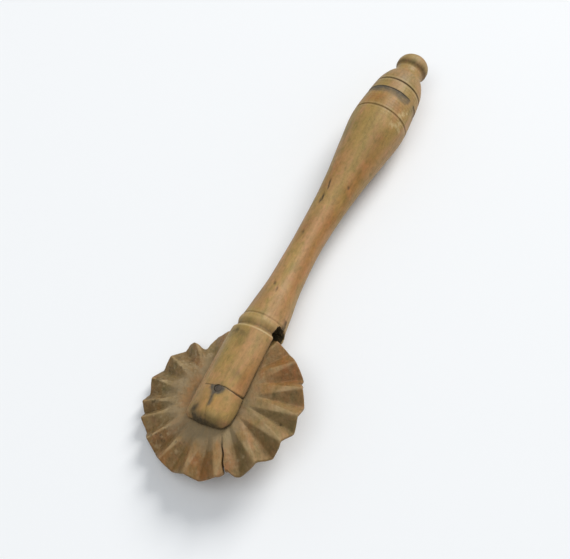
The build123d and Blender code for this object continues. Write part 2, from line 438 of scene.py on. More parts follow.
def stations():
    """Reaches of the rows: fork first, closest together where the shape is finest."""
    fork = np.r_[
        TIP + WORN_CORNER * (1 - np.cos(np.linspace(0, math.pi / 2, 7))),
        TIP + 0.85 : -0.6 : 0.25,
        -0.6:3.4:0.14,
        3.4:22.6:0.32,
        22.6 : SLOT_ROOT - 0.05 : 0.15,
        SLOT_ROOT,
    ]
    body = np.r_[
        SLOT_ROOT,
        SLOT_ROOT + 0.12 : 29.4 : 0.12,
        29.4:33:0.2,
        33:72:0.6,
        72:86:0.28,
        86:113:0.55,
        113:131:0.15,
        131:KNOB:0.25,
        KNOB + (HANDLE_END - KNOB) * np.sin(np.linspace(0, math.radians(86), 26)),
    ]
    return fork, body


def warp(points):
    """Uneven work: the slot's torn root, and the upper prong's chipped left and swollen right."""
    s, b, h = np.moveaxis(points, -1, 0)
    near = np.where(s >= SLOT_ROOT, 1 - ramp(s, SLOT_ROOT, 31.5), 1 - ramp(SLOT_ROOT - s, 0, 2.5))
    torn = 0.45 * (rough(points, 1.1, 71) - 0.6) * bell(h - 0.3, 3.2)
    hollow = 0.45 * bell(b - 4.2, 2.0) * (h > 0) * (1 - ramp(s, TIP, -7.5))
    moved = points.copy()
    moved[..., 0] = s + near * torn + hollow
    moved[..., 1] = b - 0.5 * ramp(-b, 2, 7) * bell(s + 3.8, 3.4) * (h > 0)
    return moved


def prong_rows(rows, side):
    """Loops round one prong, D-shaped with worn corners: the outside first, then the sawn face."""
    reach = rows[:, None]
    r_row = radius_at(reach)
    corner = np.degrees(np.arccos(SLOT_HALF / r_row))
    corner = corner + (CORNER - corner) * ramp(reach, SLOT_ROOT - 4, SLOT_ROOT)
    turn = corner * np.linspace(-1, 1, ARC + 1)[None, :]
    r = worn_radius(reach, turn if side > 0 else 180 - turn)
    b, h = r * np.sin(np.radians(turn)), r * np.cos(np.radians(turn))
    if side > 0:
        worn = prong_wear(reach, b)
        b, h, r = b * (1 - worn / r), h * (1 - worn / r), r - worn
    across = np.linspace(1, 0, FLAT + 1)[None, 1:-1]
    flat_b = b[:, :1] + (b[:, -1:] - b[:, :1]) * across
    flat_h = h[:, :1] + (h[:, -1:] - h[:, :1]) * across
    b, h = np.concatenate([b, flat_b], axis=1), np.concatenate([h, flat_h], axis=1)
    r = np.concatenate([r, r[:, :1] + (r[:, -1:] - r[:, :1]) * across], axis=1)
    s = np.broadcast_to(reach, b.shape)
    saw = 0.05 * (1 + rough(xyz(s, b, side * h), (0.5, 6, 6), 31 + side, 2))
    from_edge = WORN_CORNER - np.clip(s - TIP, 0, WORN_CORNER)
    inset = WORN_CORNER - np.sqrt(np.clip(WORN_CORNER**2 - from_edge**2, 0, 1))
    fade = 1 - ramp(s, SLOT_ROOT - 1.2, SLOT_ROOT - 0.1)
    limit, wall = r - inset, SLOT_HALF + saw * fade + inset
    middle = (limit + wall) / 2
    # The upper prong keeps a sharp right corner where it broke.
    sharp = 0.8 * ramp(-b, 2, 6) * (1 - ramp(s, 4, 10)) * (side > 0)
    rounding = fade * np.clip(1.2 * (limit - wall), 0, 1.1 - sharp)
    low, high = np.zeros(b.shape), np.ones(b.shape)
    for _ in range(18):  # each step halves the error, from some mm to less than 0.0001
        t = (low + high) / 2
        pb, ph = t * b, middle + t * (h - middle)
        outside = soft_max(np.hypot(pb, ph) - limit, wall - ph, rounding) > 1e-6
        low, high = np.where(outside, low, t), np.where(outside, t, high)
    kept = (1 - fade) * (s >= SLOT_ROOT - 0.01)  # the last row has to meet the body's first one
    t = low + (1 - low) * kept
    return warp(xyz(s, t * b, side * (middle + t * (h - middle))))


def handle_mesh():
    mesher = Mesher()
    fork, body = stations()
    corners = -CORNER, CORNER, 180 - CORNER, 180 + CORNER, 360 - CORNER
    turns = [
        np.linspace(start, end, steps, endpoint=False)
        for start, end, steps in zip(corners, corners[1:], (ARC, GAP, ARC, GAP))
    ]
    reach, turn = np.meshgrid(body, np.concatenate(turns), indexing="ij")
    r = worn_radius(reach, turn)
    angle = np.radians(turn)
    points = bend_points(reach, r * np.sin(angle), r * np.cos(angle))
    rows = mesher.add(warp(points))
    mesher.grid(rows, wrap=True)
    top = mesher.add(bend_points(np.array([HANDLE_END - 0.02]), np.zeros(1), np.zeros(1)))
    mesher.fan(rows[-1], top[0])
    edge = np.concatenate([rows[0], rows[0][:1]])
    arcs = {1: edge[: ARC + 1], -1: edge[ARC + GAP : 2 * ARC + GAP + 1][::-1]}
    flats = {}
    for side in (1, -1):
        loops = prong_rows(fork, side)
        numbers = mesher.add(loops[:-1])
        last_flat = mesher.add(loops[-1, ARC + 1 :])
        joined = np.concatenate([arcs[side], last_flat])
        mesher.grid(np.concatenate([numbers, joined[None]]), wrap=True)
        flats[side] = np.concatenate([[arcs[side][-1]], last_flat, [arcs[side][0]]])
        centre = loops[0].mean(axis=0)
        inner = [mesher.add(centre + (loops[0] - centre) * k) for k in (0.7, 0.35)]
        mesher.grid(np.stack([numbers[0]] + inner), wrap=True)
        mesher.fan(inner[-1], mesher.add(centre[None])[0])
    # The floor of the slot, from the upper prong's sawn face to the lower one's.
    left, right = edge[ARC : ARC + GAP + 1], edge[2 * ARC + GAP :][::-1]
    ends = np.concatenate(mesher.points)
    share = np.linspace(0, 1, FLAT + 1)[1:-1]
    floor = []
    for k in range(1, GAP):
        a, b = ends[left[k]], ends[right[k]]
        line = a + (b - a) * share[:, None]
        line[:, 0] += 0.5 * rough(line, (1, 1.2, 1.2), 77) * np.sin(share * math.pi) ** 0.5
        floor.append(np.concatenate([[left[k]], mesher.add(line), [right[k]]]))
    mesher.grid(np.stack([flats[1]] + floor + [flats[-1]]))
    return mesher.object("handle_turned", WELD)


def capped_tube(rings, name):
    """A solid with those rings of points round it, and flat ends."""
    mesher = Mesher()
    numbers = mesher.add(rings)
    mesher.grid(numbers, wrap=True)
    mesher.faces += [numbers[0].tolist(), numbers[-1][::-1].tolist()]
    return mesher.object(name)


def curtain(path, offset, low, high, name):
    """A cutter of that plan, with a rough side along all but its last two corners."""
    path = np.array(path, float)
    far = len(path) - 2
    step, level_count = 0.16, 34
    line = []
    for a, b in zip(path[: far - 1], path[1:far]):
        steps = max(int(np.hypot(*(b - a)) / step), 2)
        line.append(a + (b - a) * np.linspace(0, 1, steps, endpoint=False)[:, None])
    line = np.concatenate(line + [path[far - 1 : far]])
    along = np.gradient(line, axis=0)
    normal = xyz(along[:, 1], -along[:, 0]) / np.linalg.norm(along, axis=1)[:, None]
    rings = []
    for level in np.linspace(low, high, level_count):
        place = xyz(*line.T, level)
        shift = offset + 0.14 * rough(place, (1.1, 1.1, 1.8), 41, 3) * (low < level < high)
        outline = np.concatenate([line + normal * shift[:, None], path[far:]])
        rings.append(xyz(*outline.T, level))
    return capped_tube(np.stack(rings), name)


def drill_cutter(low, high, seed):
    """A cutter for the pin's hole between two heights."""
    turns, levels = np.linspace(0, 2 * math.pi, 49)[:-1], np.linspace(low, high, 9)
    level, turn = np.meshgrid(levels, turns, indexing="ij")
    place = xyz(3 * np.cos(turn), 3 * np.sin(turn), level)
    r = DRILL_RADIUS + 0.02 * (1 + rough(place, 1.5, seed, 2))
    rings = xyz(PIN[0] + r * np.cos(turn), PIN[1] + r * np.sin(turn), level)
    return capped_tube(rings, "drill_cutter")


def handle_marks(points):
    """Dirt and painted shade, rubbing and painted light, and soot, from 0 to 1, at the handle's
    points, and their tints.
    """
    reach, b, h = unbend(points).T
    turn = np.degrees(np.arctan2(b, h))
    r = np.hypot(b, h)
    around = rod_points(reach, turn)
    start = radius_at(reach)
    grime_and_painted_shade, wear_and_painted_light, soot = [], [], []
    for ring, _, width, dirt in RINGS:
        grime_and_painted_shade.append(bell(reach - ring, 0.24 + width / 2) * dirt)
        wear_and_painted_light.append(0.4 * dirt * bell(np.abs(reach - ring) - 0.75, 0.35))
    # The wide groove: scorched inside, with grime at its high side.
    high = WIDE_GROOVE[1]
    low, depth = wide_groove(turn)
    ragged = reach + 0.35 * rough(around, 1.5, 97)
    band = ramp(ragged, low - 1.0, low + 0.5) * (1 - ramp(reach, high + 0.05, high + 0.45))
    band = band * (1 - 0.45 * ramp(-turn, 74, 80) * (b < 0)) * (0.85 + 0.3 * rough(around, 2.5, 98))
    soot.append(band * depth * (0.8 + 0.2 * ramp(reach, low, high)))
    grime_and_painted_shade.append(0.6 * bell(reach - high, 0.2) * depth * (1 + 0.4 * rough(around, 3, 94)))
    # Dirt in the hollows, a smudge beside the collar, rubbing on the high places, and painted light
    # and shade at the collar and the knob.
    grime_and_painted_shade.append(0.5 * bell(reach - COVE, 0.95))
    smudge = bell(reach - 20.4, 1.6) * bell(turned_from(14, turn), 27)
    grime_and_painted_shade.append(0.55 * smudge * (1 + 0.7 * rough(around, 1.5, 87)))
    # Rubbing with a painted highlight along the collar's edge, and rubbing on the bead.
    wear_and_painted_light.append(0.8 * bell(reach - COLLAR_EDGE, 0.26) + 0.2 * bell(reach - BEAD, 0.9))
    # Painted shade under the knob, on its flank turned from the light, and the whole knob a little
    # darker.
    grime_and_painted_shade.append(0.42 * bell(reach - KNOB_FOOT, 0.9) + 0.2 * ramp(reach, 140.5, 141.5))
    # Painted highlights along the knob's crest and round the top of the neck.
    wear_and_painted_light.append(0.35 * bell(reach - KNOB_CREST, 0.9) + 0.3 * bell(reach - NECK, 0.35))
    for _, dirt, light, share in mark_shares(reach, turn):
        grime_and_painted_shade.append(dirt * np.clip(share * 1.5, 0, 1))
        wear_and_painted_light.append(light * np.clip(share * 1.4, 0, 1))
    flake_edge = 0.7 * rough(points, 0.6, 99)
    for flake, middle, half_length, half_width in FLAKES:
        away = np.hypot((reach - flake) / half_length, turned_from(middle, turn) / half_width)
        wear_and_painted_light.append(0.7 * (1 - ramp(away + flake_edge, 0.3, 1.3)))
    # The cracks across the upper prong, and the pin's stain.
    upper = (h > SLOT_HALF - 0.1) & (reach < SLOT_ROOT)
    to_break = path_distance(reach, b, BREAK)[0]
    grime_and_painted_shade.append(0.95 * bell(to_break, 0.2 + 0.12 * gape(b)) * upper)
    grime_and_painted_shade.append(0.7 * bell(path_distance(reach, b, HAIRLINE)[0], 0.2) * upper)
    to_stain, along = path_distance(reach, b, STAIN)
    spread = 1.5 - 0.95 * ramp(along, 0.15, 0.6)
    stain = 0.7 * bell(to_stain + 0.25 * rough(points, 1.0, 82), spread)
    stain = (stain + 0.3 * bell(to_stain, 0.4)) * (1 - 0.9 * ramp(along, 0.85, 1.0))
    pin = np.hypot((reach - 0.35) / 1.05, (b + 1.1) / 1.5)
    blot = 1.2 * (1 - ramp(pin + 0.4 * rough(points, 1.3, 83), 0.9, 1.9))
    blot = blot * (1 - 0.5 * ramp(reach, 1.4, 2.2))
    lower = (h < -SLOT_HALF) & (reach < SLOT_ROOT)
    soot += [stain * upper, blot * (upper | lower)]
    # Painted shade on the prong's end face, turned from the light, more of it to the left; a
    # darkened left corner; and painted shade with dirt along the sawn edges, in the gap to the
    # wheel.
    end = (1 - ramp(reach + 0.3 * rough(points, 2, 85), -9.7, -9.0)) * (0.5 + 0.45 * ramp(b, -3, 2))
    end += 0.4 * (1 - ramp(reach + 0.5 * rough(points, 2, 86), -9.5, -7.2))
    corner = 0.95 * bell(path_distance(reach, b, DARKENED_CORNER)[0], 1.15) * (h > 0)
    corner = corner * (1 + 0.45 * rough(points, (1.6, 0.8, 0.8), 84))
    grime_and_painted_shade += [end * (reach < 0), corner * (reach < 0)]
    # Painted shade with dirt in the gap to the wheel, along the sawn edges and wider on the right.
    edge = 0.75 * (1 - ramp(np.abs(h), SLOT_HALF + 0.15, SLOT_HALF + 0.9))
    edge += 0.42 * (1 - ramp(h, SLOT_HALF + 0.3, SLOT_HALF + 2.6)) * (h > 0) * (b < 0)
    grime_and_painted_shade.append(edge * (reach < 22))
    # Painted shade with dirt inside the slot, black towards its root.
    inside_slot = (reach < SLOT_ROOT + 2.5) & (np.abs(h) < SLOT_HALF + 0.2) & (r < start - 0.3)
    black = 0.35 + 0.65 * ramp(reach + 1.3 * rough(points, 1.5, 89), 24.0, 26.5)
    grime_and_painted_shade.append(black * inside_slot)
    grime_and_painted_shade.append(0.9 * bell(path_distance(reach, b, ROOT_SPLIT)[0], 0.35) * (h > 0) * (h < 4))
    grime_and_painted_shade, wear_and_painted_light, soot = (np.maximum.reduce(shares) for shares in (grime_and_painted_shade, wear_and_painted_light, soot))
    # Inside a hole or a crack, below the wood's surface.
    deep = (r < start - 0.75) & (np.abs(h) > SLOT_HALF) & ~inside_slot
    grime_and_painted_shade = np.where(deep & (reach > TIP + 1.2) & (reach < 3.5), 0.9, grime_and_painted_shade)
    return np.clip(xyz(grime_and_painted_shade, wear_and_painted_light, soot), 0, 1), tint(reach, turn, points, HANDLE_TINTS)


# ---- wheel

WHEEL_RADIUS, HUB_RADIUS, HUB_HALF = 25.1, 8.5, 2.9
RIM_HALF_WAVE, RIM_THICKNESS = 2.3, 1.2
BORE_RADIUS, INNER_RADIUS, FACE_RADIUS = 1.26, 7.5, 24.3  # of the carved faces' rows
RIM_INSET, RIM_BULGE = 0.45, 0.42  # from the faces' edge to the rim
# Flutes of the upper face: angles of the left crest, the valley and the right crest at the rim,
# the angle where it starts, and the radius there. Those on the right lean over as they go in.
FLUTES = (
    (21, 33, 47, 38, 13), (47, 57, 68, 57, 14), (68, 78, 89, 78, 13.8),
    (89, 99, 108, 98, 13.4), (108, 114, 121, 114, 13.6), (121, 130, 139, 130, 13),
    (139, 148, 159, 148, 10.6), (159, 168, 181, 169, 11.2), (181, 190, 204, 194, 11.2),
    (204, 219, 232, 225, 9.6), (232, 243, 254, 246, 9.6), (254, 265, 275, 272, 9.6),
    (275, 285, 296, 293, 10.8), (296, 306, 318, 315, 11.6), (318, 331, 341, 335, 12),
    (341, 350, 359, 350, 11), (359, 370, 381, 370, 11),
)
# The lower face's crests are under the upper one's valleys, to leave a zigzag ribbon at the rim.
LOW_FLUTES = tuple(
    (FLUTES[i - 1][1] - 360 * (i == 0), flute[0], flute[1], flute[0], 12.5)
    for i, flute in enumerate(FLUTES)
)
FLUTE_SPREAD = 0.42, 0.2  # how soon a flute is as wide as at the rim: sooner on the left
SPLIT_START = 12.5
BITE, BITE_DEPTH, BITE_HALF = 41.5, 5.2, 11.0  # degrees, mm, degrees
# Wide dips and small chips in the rim: angle, half width in degrees, depth.
RIM_DIPS = ((26, 8, 0.8), (63, 8, 0.35), (142, 13, 0.55), (257, 5, 0.5))
RIM_CHIPS = ((302.5, 2.2, 0.9), (211.0, 3.2, 2.0), (234, 3, 0.35), (128, 4, 0.3), (96, 3, 0.3))
# Spots on the upper face: angle, radius, size, and how deep, how pale or how dirty they are.
DENTS = ((221, 20.6, 0.55, 0.25), (226, 20.8, 0.5, 0.2), (266.5, 20.5, 0.4, 0.4))
PALE_SPOTS = ((221, 20.6, 0.35, 1.6), (226, 20.8, 0.35, 1.6))
DIRTY_SPOTS = (
    (266.5, 20.5, 0.45, 0.9), (302.5, 24, 0.8, 0.6), (292, 21.5, 0.8, 0.4),
    (289, 19.5, 0.5, 0.35), (211, 12.3, 0.5, 0.7),
)
# As HANDLE_TINTS, with radius and angle for reach and turn.
WHEEL_TINTS = (
    (22, 188, 5, 12, 0.7, 0, 0.1), (22, 163, 5, 9, 0.6, 0, 0), (21, 143, 6, 8, 0.7, 0, 0),
    (21, 57, 5, 8, 0.6, 0, 0), (22, 214, 4, 6, 0.6, 0, 0.4), (22, 244, 3, 5, 0.5, 0, 0),
    (21.5, 311, 4.5, 10, 1, 0.1, 0), (21.5, 332, 5, 11, 0.75, 0, 0), (9.5, 92, 3.2, 42, 0.5, 0, 0),
    # The last patch below, pale, is painted light where the prong's shadow falls, below its tip.
    (18, 225, 6, 5, 0, 0.6, 0), (20, 92, 6, 28, 0, 0.5, 0), (11, 188, 3, 28, 0, 0, 0.7),
)


def split_middle(r):
    """The angle of the wheel's split at each radius."""
    return 210.6 - 1.4 * ramp(r, 13, 24.5) + 0.35 * np.sin(r * 1.1) * ramp(r, 12.5, 14)


def split_half(r):
    """Half its opening, in mm."""
    return 0.02 + 0.24 * ramp(r, SPLIT_START, 20)


def crest_height(r):
    slope = (HUB_HALF - RIM_HALF_WAVE) / (WHEEL_RADIUS - HUB_RADIUS)
    return HUB_HALF - slope * np.clip(r - HUB_RADIUS, 0, None)


def leftness(angle):
    """1 on the left of the wheel, where the flutes are shallow scallops, and 0 on its right."""
    return ramp(np.cos(np.radians(angle - 100)), 0.1, 0.75)


def fluted_height(r, angle, flutes):
    """Of one face: its height, how far down a flute it is, and whether past the flute's valley."""
    left, valley, right, apex, start = np.array(flutes, float).T
    angle = (angle - left[0]) % 360 + left[0]
    i = np.clip(np.searchsorted(left, angle, side="right") - 1, 0, len(left) - 1)
    left, valley, right, apex, start = (row[i] for row in (left, valley, right, apex, start))
    share = np.clip((r - start) / (WHEEL_RADIUS - start), 0, 1)
    spread = share ** (FLUTE_SPREAD[0] + (FLUTE_SPREAD[1] - FLUTE_SPREAD[0]) * leftness(angle))
    left, valley, right = (apex + (edge - apex) * spread for edge in (left, valley, right))
    past = angle > valley
    run = np.maximum(np.where(past, right - valley, valley - left), 1e-3)
    away = np.abs(angle - valley) / run
    v = 1 - np.sqrt(away * away + 0.002)
    v = np.clip(soft_max(v, 0, 0.1) - 0.006, 0, 1)
    floor = RIM_THICKNESS - RIM_HALF_WAVE
    fall = (crest_height(start) - floor) / (WHEEL_RADIUS - start)
    depth = np.clip(crest_height(r) - (crest_height(start) - fall * (r - start)), 0, None)
    return crest_height(r) - depth * v, v * np.clip(depth / 1.6, 0, 1), past


def rim_radius(angle):
    """The rim, chipped and hand-cut, never past the turned radius."""
    a = np.radians(angle)
    place = xyz(9 * np.cos(a), 9 * np.sin(a), 0)
    r = WHEEL_RADIUS - 0.02 - 0.06 * (1 + rough(place, 1.6, 21, 3))
    for dip, half, depth in RIM_DIPS:
        r = r - depth * bell(turned_from(dip, angle), half)
    near = np.abs(turned_from(BITE, angle)) / BITE_HALF
    r = r - BITE_DEPTH * (1 - ramp(near + 0.08 * rough(place, 0.6, 25, 2), -0.1, 1.0))
    for chip, half, depth in RIM_CHIPS:
        r = r - depth * bell(turned_from(chip, angle), half)
    return r


def spot_share(x, y, angle, radius, size):
    """1 in the middle of a spot on the wheel, and less over its size."""
    turn = math.radians(angle)
    return bell(np.hypot(x - radius * math.cos(turn), y - radius * math.sin(turn)), size)


def wheel_mesh():
    columns, rim_steps = 560, 7
    # The first three rows are the bore's circle and two rings between it and the hub.
    inner_rows = ((0, 0.0), (1, 0.25), (2, 0.6))
    radii = np.r_[0, 0.5, 1, np.linspace(INNER_RADIUS, 11.5, 8), 12:FACE_RADIUS:0.36, FACE_RADIUS]
    r, k = np.meshgrid(radii, np.arange(columns + 1), indexing="ij")
    opening = np.where(r >= SPLIT_START, np.degrees(split_half(r) / np.maximum(r, 1)), 0)
    angle = split_middle(r) + opening + k / columns * (360 - 2 * opening)
    rim = rim_radius(angle)
    shrink = 1 - (1 - (rim - RIM_INSET) / FACE_RADIUS) * ramp(r, 15, FACE_RADIUS)
    rr = r * shrink
    a = np.radians(angle)
    x, y = rr * np.cos(a), rr * np.sin(a)
    for row, share in inner_rows:
        turn = np.array([np.cos(a[row]), np.sin(a[row])])
        ring = np.array(PIN)[:, None] + BORE_RADIUS * turn
        x[row], y[row] = ring + (INNER_RADIUS * turn - ring) * share
    rr = np.where(r < 2, np.hypot(x, y), rr)
    faces = {}
    for side, flutes in ((1, FLUTES), (-1, LOW_FLUTES)):
        height, _, _ = fluted_height(rr, angle, flutes)
        place = xyz(x, y, side * height)
        height = height - 0.06 * (1.4 + rough(place, 3.0, 51 + side, 3)) * ramp(rr, 4, 9)
        carved = 0.05 + 0.06 * leftness(angle)
        height = height - carved * (1 + rough(place, 1.1, 63 + side, 3)) * ramp(rr, 8, 12)
        if side > 0:  # a dish round the hub
            height = height - 0.16 * (1 - ramp(rr, 9, 14)) * ramp(rr, 5, 9)
        faces[side] = xyz(x, y, side * height)
    for *spot, depth in DENTS:
        faces[1][..., 2] -= depth * spot_share(x, y, *spot)
    mesher = Mesher()
    top, bottom = mesher.add(faces[1]), mesher.add(faces[-1])
    high, low = faces[1][-1], faces[-1][-1]
    middle, half = (high[:, 2] + low[:, 2]) / 2, (high[:, 2] - low[:, 2]) / 2
    edge_radius = np.hypot(high[:, 0], high[:, 1])
    edge = []
    for p in np.linspace(math.pi / 2, -math.pi / 2, rim_steps + 2)[1:-1]:
        scale = (edge_radius + RIM_BULGE * math.cos(p)) / edge_radius
        edge.append(xyz(high[:, 0] * scale, high[:, 1] * scale, middle + half * math.sin(p)))
    rim_rows = mesher.add(np.stack(edge))
    mesher.grid(np.concatenate([top, rim_rows, bottom[::-1]]))
    mesher.grid(np.stack([top[0], bottom[0]]))
    first = int(np.argmax(radii >= SPLIT_START)) - 1
    for column in (0, columns):
        mesher.grid(np.stack([top[first:, column], bottom[first:, column]]))
        mesher.faces.append([top[-1, column], *rim_rows[:, column], bottom[-1, column]])
    return mesher.object("wheel_carved", WELD)


def wheel_marks(points):
    """Dirt and painted shade, rubbing and painted light, and dust, from 0 to 1, at the wheel's
    points, and their tints.
    """
    x, y, h = np.moveaxis(points, -1, 0)
    r, angle = np.hypot(x, y), np.degrees(np.arctan2(y, x)) % 360
    top, deep_up, past_up = fluted_height(r, angle, FLUTES)
    bottom, deep_low, past_low = fluted_height(r, angle, LOW_FLUTES)
    up = h > (top - bottom) / 2
    deep = np.where(up, deep_up, deep_low)
    past = np.where(up, past_up, past_low)
    left = leftness(angle)
    crest = (1 - ramp(deep, 0.0, 0.12 - 0.06 * left)) * ramp(r, 15, 18)
    uneven = rough(points, 2.2, 91)
    turn = np.radians(angle)
    streaks = rough(xyz(r / 5, 12 * np.cos(turn), 12 * np.sin(turn)), 1, 93)
    # Dirt and painted shade on the flanks: on the right of the wheel on the flank past the valley,
    # turned from the light, and on its left on both, most on the flank past the valley, facing the
    # light.
    dirt_and_painted_shade = 0.34 * past * ramp(deep, 0.02, 0.2) * (1 - left)
    dirt_and_painted_shade += left * (0.42 * past + 0.12 * ~past) * ramp(deep, 0.02, 0.12)
    dirt_and_painted_shade = dirt_and_painted_shade * (0.85 + 0.3 * uneven + 0.25 * streaks) * np.where(up, 1, 0.6)
    dirt_and_painted_shade = dirt_and_painted_shade * (1 - 0.75 * bell(angle - 328, 22) - 0.7 * bell(angle - 171, 8))
    grime_and_painted_shade = [dirt_and_painted_shade, 0.3 * ramp(deep, 0.35, 1.0) * (0.75 + 0.5 * uneven)]
    # Painted shade with dirt round the hub's edge, beside the prongs' sawn edges.
    grime_and_painted_shade.append(0.5 * bell(r - 8.6, 1.0) * (np.abs(h) > 1.5))
    line = np.abs(turned_from(split_middle(r), angle)) * np.radians(1) * r
    grime_and_painted_shade.append(0.95 * bell(line, 0.3) * ramp(r, SPLIT_START - 0.5, SPLIT_START + 1))
    grime_and_painted_shade += [amount * spot_share(x, y, *spot) * up for *spot, amount in DIRTY_SPOTS]
    # Painted highlights with rubbing along the crests, more on the left.
    wear_and_painted_light = [(0.45 + 0.3 * left) * crest * (0.8 + 0.6 * rough(points, 3, 95))]
    flecks = ramp(rough(points, (1.6, 1.1, 1.1), 101) + 0.7 * rough(points, 0.45, 103), 0.2, 1.2)
    wear_and_painted_light.append(flecks * (0.25 + 0.6 * left * bell(r - 17.5, 6)) * (r > 9) * up)
    pits = ramp(rough(points, 1.0, 105) + 0.5 * rough(points, 0.45, 107), 0.35, 1.2)
    grime_and_painted_shade.append(pits * (0.3 + 0.5 * left) * (r > 12) * up)
    # Painted light where the prong's shadow falls, below its tip.
    painted_light_in_prong_shadow = bell(r - 11.5, 3.0) * bell(angle - 178, 42) * up
    wear_and_painted_light.append(0.75 * painted_light_in_prong_shadow * (1 + 0.5 * streaks))
    wear_and_painted_light += [amount * spot_share(x, y, *spot) * up for *spot, amount in PALE_SPOTS]
    edge = r + 1.5 * uneven - 1.8 * np.sin(np.radians(angle - 20)) + 1.5 * streaks
    dust = (1 - ramp(edge, 12.5, 18)) * (r > 2) * (0.8 + 0.35 * streaks)
    rubbed = 0.75 * bell(r - 10, 2.6) * bell(angle - 92, 46)
    dust = dust * (1 - rubbed - 0.5 * bell(angle - 290, 60))
    marks = xyz(np.maximum.reduce(grime_and_painted_shade), np.maximum.reduce(wear_and_painted_light), dust)
    return np.clip(marks, 0, 1), tint(r, angle, points, WHEEL_TINTS) * up[:, None]


# ---- pin

PIN_RADIUS, PIN_HALF, DRILL_RADIUS = 1.18, 8.29, 1.2
PIN_DOME = ((0, 0.35), (0.02, 0.8), (0.09, 1.1), (0.2, 1.17), (0.45, PIN_RADIUS))  # depth, radius


def pin_mesh():
    """A short worn iron pin, with ends domed and dented by a hammer."""
    depth, dome = np.array(PIN_DOME).T
    level = np.concatenate([depth - PIN_HALF, np.linspace(-7, 7, 9), PIN_HALF - depth[::-1]])
    radius = np.concatenate([dome, np.full(9, PIN_RADIUS), dome[::-1]])
    turn = np.linspace(0, 2 * math.pi, 41)[:-1]
    r = radius[:, None]
    place = xyz(r * np.cos(turn), r * np.sin(turn), level[:, None])
    end = np.abs(place[..., 2]) > 7.2
    place[..., :2] *= (1 - 0.02 * (1 + rough(place, 0.6, 33, 2)))[..., None]
    place[..., 2] -= np.sign(place[..., 2]) * 0.05 * (1 + rough(place, 0.5, 35, 2)) * end
    place[..., 0] += PIN[0]
    place[..., 1] += PIN[1]
    mesher = Mesher()
    rows = mesher.add(place)
    mesher.grid(rows, wrap=True)
    for row, z in ((0, 0.02 - PIN_HALF), (-1, PIN_HALF - 0.02)):
        mesher.fan(rows[row], mesher.add(np.array([[PIN[0], PIN[1], z]]))[0])
    return mesher.object("pin_forged")


# ---- build the pieces

handle = handle_mesh()
for low, high, seed in ((-10, -2, 45), (2, 10, 47)):  # one hole in each prong
    drill = drill_cutter(low, high, seed)
    cut(handle, drill, "DIFFERENCE")
    remove(drill)
tip = new_object("prong_tip_turned", handle.data.copy())
# In from the right along the break, out along the crack, and back well outside the wood.
plan = ((1.9, -14), *BREAK, *LONG_CRACK[1:], (-16, -2.6), (-16, -14), (-2, -15))
half_gap, bottom, top = 0.1, 1, 11
wider = curtain(plan, -half_gap, bottom, top, "wide_cutter")
closer = curtain(plan, half_gap, bottom, top, "close_cutter")
cut(handle, wider, "DIFFERENCE")
cut(tip, closer, "INTERSECT")
remove(wider, closer)
wheel = wheel_mesh()
pin = pin_mesh()


def wheel_grain(points):
    """The wheel's points along and across its grain, which is 30 degrees off the fork."""
    s, b, h = points.T
    along, across = math.cos(math.radians(30)), math.sin(math.radians(30))
    return xyz(s * along + b * across, b * along - s * across, h)


for piece, marks_of, grain_of, sharp_degrees in (
    (handle, handle_marks, unbend, 48),
    (tip, handle_marks, unbend, 48),
    (wheel, wheel_marks, wheel_grain, 50),
    (pin, None, np.array, 45),
):
    points = tool_points(piece)
    write_attribute(piece, "grain", grain_of(points))
    if marks_of:
        marks, tints = marks_of(points)
        write_attribute(piece, "marks", marks)
        write_attribute(piece, "tint", tints)
    smooth(piece, sharp_degrees)

# ---- materials

# What the wood's colour is multiplied by: in the tint patches, in its mottles, in its flecks.
ORANGE, OLIVE, PALE = (0.90, 0.68, 0.48, 1), (0.66, 0.71, 0.64, 1), (1.22, 1.20, 1.42, 1)
DARK_MOTTLE, PALE_MOTTLE = (0.80, 0.88, 0.80, 1), (1.12, 1.02, 1.16, 1)
DARK_FLECK, PALE_FLECK = (0.80, 0.81, 0.76, 1), (1.15, 1.13, 1.14, 1)


